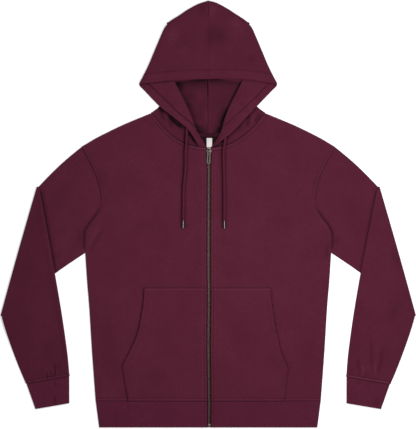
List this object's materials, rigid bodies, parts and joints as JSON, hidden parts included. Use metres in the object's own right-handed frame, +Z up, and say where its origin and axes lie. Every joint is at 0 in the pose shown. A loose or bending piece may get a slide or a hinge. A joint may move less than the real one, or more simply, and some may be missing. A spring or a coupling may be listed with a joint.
{
  "type": "zip up hoodie",
  "caption": "Zip-up hooded sweatshirt laid flat on its back: hood open, drawstring hanging, kangaroo pocket, sleeves folded over at the elbow.",
  "frame": {"origin": "on the surface the garment lies on, under the middle of its box: 469 mm from the hem and 469 mm from the top of the hood", "axes": "+Z up, away from the surface; +Y from the hem towards the hood, along the zip; +X across, towards the right sleeve as seen from above"},
  "size_m": [0.9122, 0.9373, 0.0145],
  "materials": {
    "fleece": "matt brushed-back cotton fleece, burgundy, fine jersey face",
    "rib": "matt burgundy cotton knit band",
    "cord": "matt burgundy braided cotton",
    "tape": "dark burgundy woven tape",
    "label": "plain white woven satin",
    "zip_metal": "antique, dull grey-brown plating",
    "aglet_metal": "satin nickel"
  },
  "bodies": {
    "garment": {"back": "fleece", "front_left": "fleece", "front_right": "fleece", "sleeve_left": "fleece", "sleeve_right": "fleece", "cuff_left": "rib", "cuff_right": "rib", "hem_band": "rib", "hood_left": "fleece", "hood_right": "fleece", "neck_tape": "tape", "neck_label": "label", "pocket_left": "fleece", "pocket_right": "fleece", "zip_tape_left": "tape", "zip_tape_right": "tape", "zip_chain": "zip_metal", "zip_slider": "zip_metal", "zip_bottom_stop": "zip_metal", "drawstring_left": "cord", "drawstring_right": "cord", "aglet_left": "aglet_metal", "aglet_right": "aglet_metal"},
    "pull_tab": {"zip_pull_tab": "zip_metal"}
  },
  "joints": [
    {"name": "pull_tab_swing", "type": "hinge", "parent": "garment", "child": "pull_tab", "pos_m": [0, 0.1375, 0.00795], "axis": [-1, 0, 0], "range_deg": [0, 170]}
  ]
}
